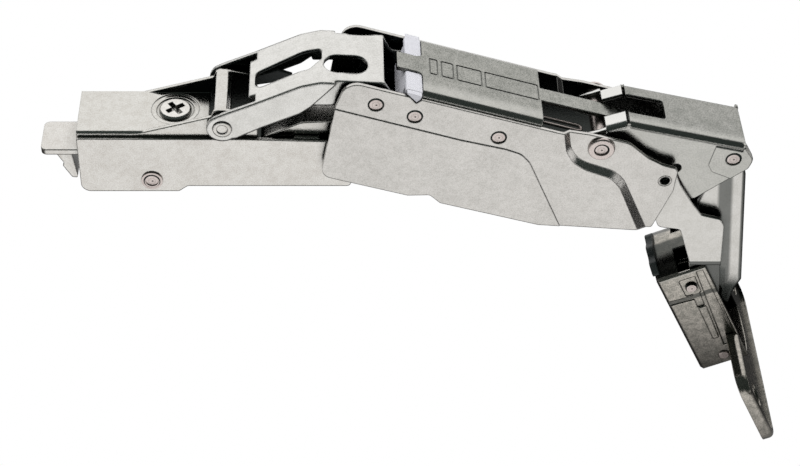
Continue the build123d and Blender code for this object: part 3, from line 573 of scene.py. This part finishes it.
# The upward tabs get a bright painted highlight.
tabs = math_node(tree, "LESS_THAN", x, 101.3 * mm)
tabs = math_node(tree, "MULTIPLY", tabs, smooth_step(tree, facing_z, 0.6, 0.9))
tint(lever_steel, strongest(tree, (tabs, 0.8)), (0.86, 0.85, 0.82))

tree = cover_steel.node_tree
# The cover's near edge gets a pale painted highlight.
edge_highlight = smooth_step(tree, minus(tree, object_xyz(tree)[1]), 5.2 * mm, 8.4 * mm)
tint(cover_steel, strongest(tree, (edge_highlight, 0.45)), highlight_colour)
print("lever nodes:", len(lever_steel.node_tree.nodes))

# %% [markdown]
# Two bends run down the outer arm, with a pale strip between them, and the arm turns dark
# toward the cup: the dark bends and the darkening toward the cup are painted shade. The
# bends lean a little, so places across them are measured with a small share of the height
# added. The inner arm has a small step drawn as a dark line of painted shade, and is
# painted dark below it, as shade too.

# %% Painted shade on the two cup arms
# A near-black grey for painted shade.
shade_grey = (0.05, 0.055, 0.052)
arm_middle_z = -32.5
bend_lean = 0.11
tree = arm_plate_steel.node_tree
x, _, z = object_xyz(tree)
from_middle = math_node(tree, "ADD", z, -arm_middle_z * mm)
across = math_node(tree, "MULTIPLY_ADD", from_middle, bend_lean, x)
down = minus(tree, z)
first_bend = band(tree, across, 129.0, 131.5, 1.1)
last_bend = smooth_step(tree, across, 134.2 * mm, 134.7 * mm)
low_end = smooth_step(tree, down, 50.5 * mm, 56.0 * mm)
low_part = smooth_step(tree, down, 43.0 * mm, 50.0 * mm)
past_bend = smooth_step(tree, across, 130.9 * mm, 131.6 * mm)
low_left = math_node(tree, "SUBTRACT", low_part, past_bend, clamp=True)
# All four masks are painted shade on the outer arm.
dark = strongest(tree, (first_bend, 0.74), (last_bend, 0.8), (low_end, 0.92), (low_left, 0.85))
tint(arm_plate_steel, dark, (0.03, 0.038, 0.035))

tree = inner_arm_steel.node_tree
down = minus(tree, object_xyz(tree)[2])
# The step and the part below it are painted shade.
step_shade = band(tree, down, 44.0, 45.1, 0.3)
below = smooth_step(tree, down, 45.2 * mm, 46.6 * mm)
tint(inner_arm_steel, strongest(tree, (step_shade, 0.85), (below, 0.85)), shade_grey)
print("outer arm nodes:", len(arm_plate_steel.node_tree.nodes))

# %% [markdown]
# The cup leans, so its marks are easier to place in its own frame: down its face from the
# middle of the flange, and out of that face. The end of its wall that is nearest to the
# arms is painted dark as shade, apart from a strip on the far side, and a thin painted
# highlight runs along the near bend. A pressed line across the wall below it is drawn as a
# dark line of painted shade.

# %% Painted shade and highlights on the cup
flange_x, flange_z = 144.33, -82.73
lean_sin, lean_cos = 0.43366, 0.90108
tree = cup_steel.node_tree
x, y, z = object_xyz(tree)
from_flange_x = math_node(tree, "SUBTRACT", x, flange_x * mm)
from_flange_z = math_node(tree, "SUBTRACT", z, flange_z * mm)
up_face = math_node(tree, "MULTIPLY", from_flange_z, lean_cos)
up_face = math_node(tree, "MULTIPLY_ADD", from_flange_x, -lean_sin, up_face)
end_wall = smooth_step(tree, up_face, 39.6 * mm, 41.2 * mm)
flat_part = math_node(tree, "SUBTRACT", 1.0, band(tree, y, 3.4, 6.8, 1.4))
# The end of the wall is painted dark as shade.
wall_shade = math_node(tree, "MULTIPLY", end_wall, flat_part)
# The pressed line is drawn as a dark line of painted shade.
pressed = band(tree, up_face, 30.7, 31.9, 0.35)
tint(cup_steel, strongest(tree, (wall_shade, 0.86), (pressed, 0.75)), shade_grey)
# A thin painted highlight along the near bend.
bend_highlight = math_node(tree, "MULTIPLY", end_wall, band(tree, y, -9.7, -8.7, 0.2))
tint(cup_steel, strongest(tree, (bend_highlight, 0.8)), (0.78, 0.75, 0.69))
print("cup nodes:", len(cup_steel.node_tree.nodes))

# %% [markdown]
# The damper's case and the cup's bumper are moulded plastic: one even colour with a fine
# matt skin, so a fine noise shades the colour slightly and lifts the surface a little.

# %% Plastics
skin_shade, skin_height = 0.86, 0.01 * mm


def moulded(name, colour, rough):
    """A moulded plastic with a fine matt skin."""
    made = bpy.data.materials.new(name)
    made.use_nodes = True
    tree = made.node_tree
    shader = tree.nodes["Principled BSDF"]
    shader.inputs["Roughness"].default_value = rough
    fine = noise(tree, tree.nodes.new("ShaderNodeTexCoord").outputs["Object"], 900.0, 3.0)
    skin = blend_colour(tree, fine, colour, tuple(skin_shade * part for part in colour))
    tree.links.new(skin, shader.inputs["Base Color"])
    relief = new_node(tree, "ShaderNodeBump", Strength=0.3, Distance=skin_height)
    tree.links.new(fine, relief.inputs["Height"])
    edge = new_node(tree, "ShaderNodeBevel", Radius=0.3 * mm, samples=6)
    tree.links.new(edge.outputs["Normal"], relief.inputs["Normal"])
    tree.links.new(relief.outputs["Normal"], shader.inputs["Normal"])
    return made


pale_plastic = moulded("pale_plastic", (0.60, 0.60, 0.64), 0.45)
# This dark finish is the bumper's real dark plastic, and on the knee rib it is painted shade.
dark_plastic = moulded("dark_plastic", (0.018, 0.024, 0.023), 0.45)
print("finishes:", len(bpy.data.materials))

# %% [markdown]
# Each CAD piece now takes its finish. One table says which pieces share one, which is
# easier to check than a line for each piece, and the count shows that none is left out.

# %% Give every CAD piece its finish
finishes = {
    arm_steel: [
        "arm_housing", "release_lever", "release_clip", "inner_link", "knee_pin", "inner_link_pin",
    ],
    slide_steel: ["arm_slide"],
    screw_steel: ["adjusting_screw"],
    knee_steel: ["knee_bracket"],
    plate_steel: ["side_plate_near", "side_plate_far", "wing_rivet_near", "wing_rivet_far"],
    arm_plate_steel: ["outer_cup_arm"],
    inner_arm_steel: ["inner_cup_arm"],
    cover_steel: ["top_cover"],
    lever_steel: ["outer_lever"],
    cup_steel: ["cup_pot", "cup_flange", "cup_lug", "outer_arm_pin"],
    rivet_steel: [
        "cup_rivet_rear", "hairpin_spring", "inner_arm_stub_near", "inner_arm_stub_far",
        "arm_buffer",
    ],
    pale_plastic: ["damper_body"],
    dark_plastic: ["cup_insert"],
    **heads,
}
for finish, names in finishes.items():
    for name in names:
        nodes[name].data.materials.clear()
        nodes[name].data.materials.append(finish)
print("finished", sum(len(names) for names in finishes.values()), "of", len(nodes))

# %% [markdown]
# Two small pieces are made here, each a thin plate. An outline pushed out into a solid is
# the simplest way to a flat shape with an uneven edge, and a bevel on its sharp edges
# gives it the rounding of a moulded or pressed piece.

# %% Thin plates
sharp_angle = math.radians(40.0)


def plate(name, body, outline, normal, thickness, finish, rounding=0.15):
    """A thin plate: outline points (mm), pushed along normal by thickness (mm)."""
    shape = bmesh.new()
    face = shape.faces.new([shape.verts.new(Vector(point) * mm) for point in outline])
    grown = bmesh.ops.extrude_face_region(shape, geom=[face])
    moved = [item for item in grown["geom"] if isinstance(item, bmesh.types.BMVert)]
    bmesh.ops.translate(shape, verts=moved, vec=Vector(normal) * thickness * mm)
    bmesh.ops.recalc_face_normals(shape, faces=shape.faces)
    sharp = [edge for edge in shape.edges if edge.calc_face_angle(0.0) > sharp_angle]
    bmesh.ops.bevel(
        shape, geom=sharp, offset=rounding * mm, segments=2, affect="EDGES", profile=0.5,
        material=-1,
    )
    mesh = bpy.data.meshes.new(name)
    shape.to_mesh(mesh)
    shape.free()
    piece = bpy.data.objects.new(name, mesh)
    bpy.context.scene.collection.objects.link(piece)
    mesh.materials.append(finish)
    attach(piece, body)
    return piece


# %% [markdown]
# The bumper's wavy edge is a smooth curve through a few points. Straight runs between them
# would look folded, so each run is bent by the points before and after it, which is what
# a Catmull-Rom curve does.

# %% Wavy edges


def curve_value(p, q, r, s, t):
    """A Catmull-Rom curve through four values, at t from q (0) to r (1)."""
    straight = 2 * q + (r - p) * t
    squared = (2 * p - 5 * q + 4 * r - s) * t ** 2
    cubed = (3 * q - p - 3 * r + s) * t ** 3
    return 0.5 * (straight + squared + cubed)


def smooth_outline(points, steps=4):
    """Points of a Catmull-Rom curve through an open list of 2-D points."""
    curve = []
    padded = [points[0], *points, points[-1]]
    for four in zip(padded, padded[1:], padded[2:], padded[3:]):
        for step in range(steps):
            curve.append(tuple(curve_value(*values, step / steps) for values in zip(*four)))
    return [*curve, points[-1]]


# %% [markdown]
# The bumper is a dark plastic strip with a wavy edge, on the round end of the cup's wall.
# It stands for the plain CAD insert. Its inner edge follows the wall's circle, and its
# outer edge is a smooth curve through points at a list of widths from that circle.

# %% Cup bumper
wall_centre, wall_radius = -21.9, 21.05
bumper_out, bumper_thickness = -12.2, 1.9
widths = [0.5, 1.3, 1.7, 1.2, 0.9, 1.4, 1.8, 1.5, 1.0, 1.1, 1.6, 1.3, 0.7]
first_side, side_step = 8.4, 1.35


def in_cup(down, y, out):
    """A point given in the cup's frame (mm): down its face, and out of that face."""
    return (
        flange_x + lean_sin * down + lean_cos * out,
        y,
        flange_z - lean_cos * down + lean_sin * out,
    )


sides = [first_side - side_step * place for place in range(len(widths))]
wall = [wall_centre - math.sqrt(wall_radius ** 2 - side * side) for side in sides]
outer_edge = smooth_outline([(w - width, side) for w, width, side in zip(wall, widths, sides)])
inner_edge = list(zip(wall, sides))
bumper = plate(
    "cup_bumper", "cup",
    [in_cup(down, side, bumper_out) for down, side in [*outer_edge, *reversed(inner_edge)]],
    (-lean_cos, 0.0, -lean_sin), bumper_thickness, dark_plastic,
)
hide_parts("cup_insert")
print("bumper faces:", len(bumper.data.polygons))

# %% [markdown]
# A dark rib shows through the slot of the knee bracket: one more plate, which stands
# upright inside the bracket and moves with it. It is taken to be steel in deep shade, so
# its finish is the dark one, as painted shade.

# %% Knee rib
rib_side, rib_thickness = 3.0, 1.2
rib_corners = [(7.4, 5.4), (7.6, 8.2), (13.9, 10.3), (17.6, 8.8), (13.0, 6.4)]
rib = plate(
    "knee_rib", "knee", [(x, rib_side, z) for x, z in rib_corners],
    (0.0, 1.0, 0.0), rib_thickness, dark_plastic, rounding=0.2,
)
print("rib faces:", len(rib.data.polygons))
